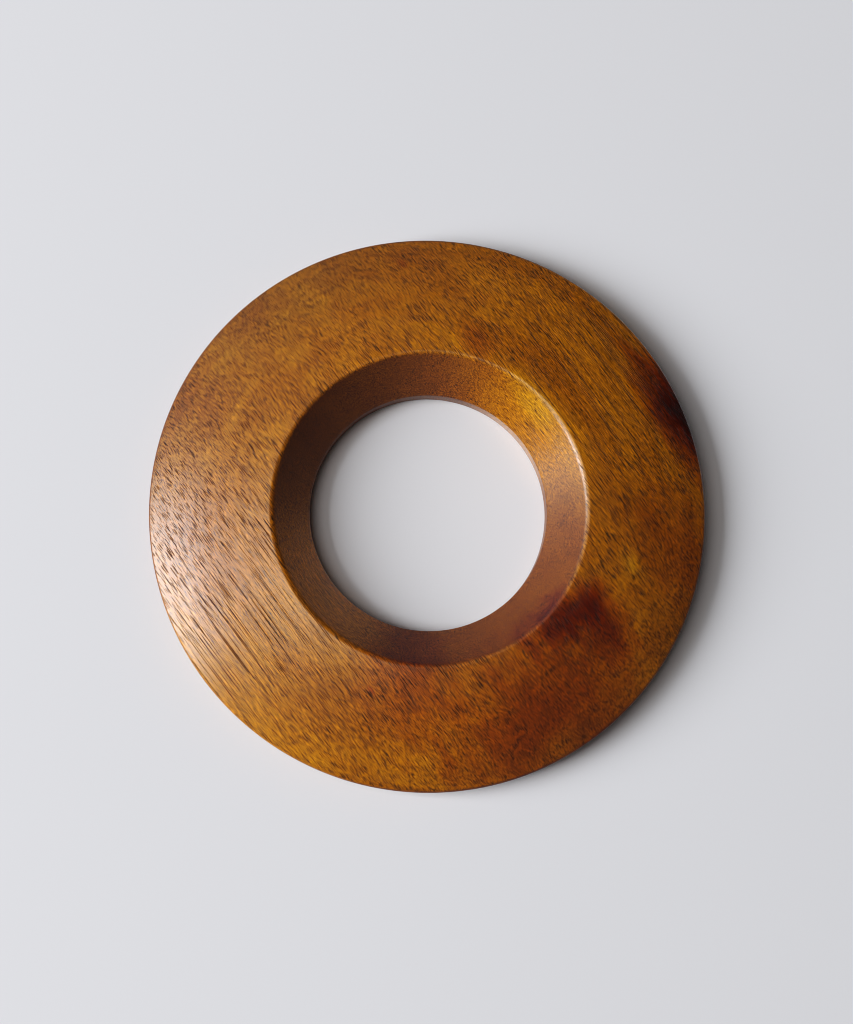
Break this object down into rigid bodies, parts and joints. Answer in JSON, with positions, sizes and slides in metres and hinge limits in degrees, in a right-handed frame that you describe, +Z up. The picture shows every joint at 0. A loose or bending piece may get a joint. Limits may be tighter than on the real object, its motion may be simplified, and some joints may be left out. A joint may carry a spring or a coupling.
{
  "type": "turned wooden ring",
  "caption": "Flat turned hardwood ring with a gently domed top face, a funnel-shaped mouth and a short straight bore, oiled to a satin gloss.",
  "frame": {"origin": "centre of the flat foot, on the turning axis", "axes": "+Z up along the turning axis, from the foot to the funnel's mouth; +X along the grain of the board"},
  "size_m": [0.11, 0.11, 0.0124],
  "materials": {
    "hardwood": "satin gloss oil and wax on open-pored red-brown hardwood"
  },
  "bodies": {
    "root": {"turned_ring": "hardwood"}
  },
  "joints": []
}
